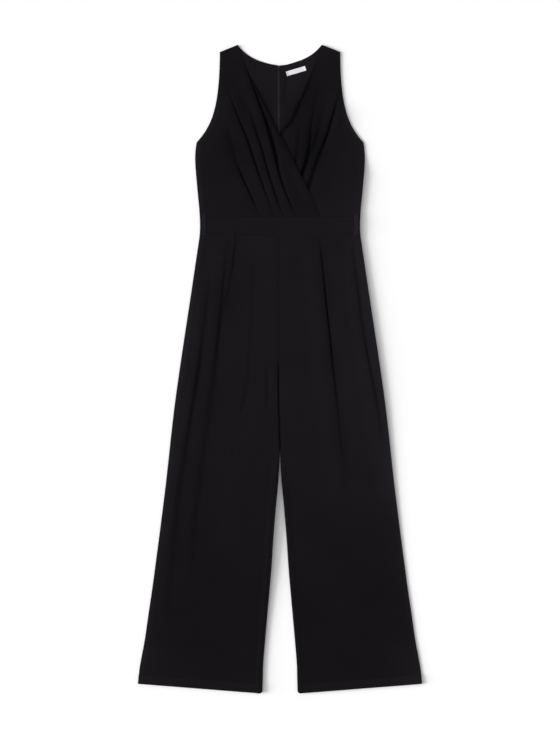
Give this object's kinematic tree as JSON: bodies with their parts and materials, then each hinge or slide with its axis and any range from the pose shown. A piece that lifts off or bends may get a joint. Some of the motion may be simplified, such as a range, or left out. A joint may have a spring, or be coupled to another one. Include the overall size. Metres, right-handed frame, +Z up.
{
  "type": "wrap-front sleeveless wide-leg jumpsuit laid flat",
  "caption": "Sleeveless jumpsuit with pleated wrap V front, waistband with belt loops and wide legs, laid flat on its back, with centre-back zip.",
  "frame": {"origin": "middle of the garment's outline, on the surface it lies on", "axes": "+Y to the neck, +Z up off the surface, and the wearer's right at -X"},
  "size_m": [0.66, 1.5016, 0.0138],
  "materials": {
    "crepe": "matt black crepe",
    "label_satin": "white woven satin, blank",
    "zip_tape": "black woven tape with a nylon coil",
    "zip_metal": "black enamel"
  },
  "bodies": {
    "garment": {"front_bodice_right": "crepe", "front_bodice_left": "crepe", "back_bodice_right": "crepe", "back_bodice_left": "crepe", "waistband_front": "crepe", "waistband_back_right": "crepe", "waistband_back_left": "crepe", "belt_loop_right": "crepe", "belt_loop_left": "crepe", "front_leg_right": "crepe", "front_leg_left": "crepe", "back_leg_right": "crepe", "back_leg_left": "crepe", "label": "label_satin", "zip_tape_right": "zip_tape", "zip_tape_left": "zip_tape", "zip_slider": "zip_metal"},
    "zip_pull": {"zip_pull": "zip_metal"}
  },
  "joints": [
    {"name": "zip_pull_swing", "type": "hinge", "parent": "garment", "child": "zip_pull", "pos_m": [-0.0028, 0.697, 0.0014], "axis": [1, 0, 0], "range_deg": [0, 165]}
  ]
}
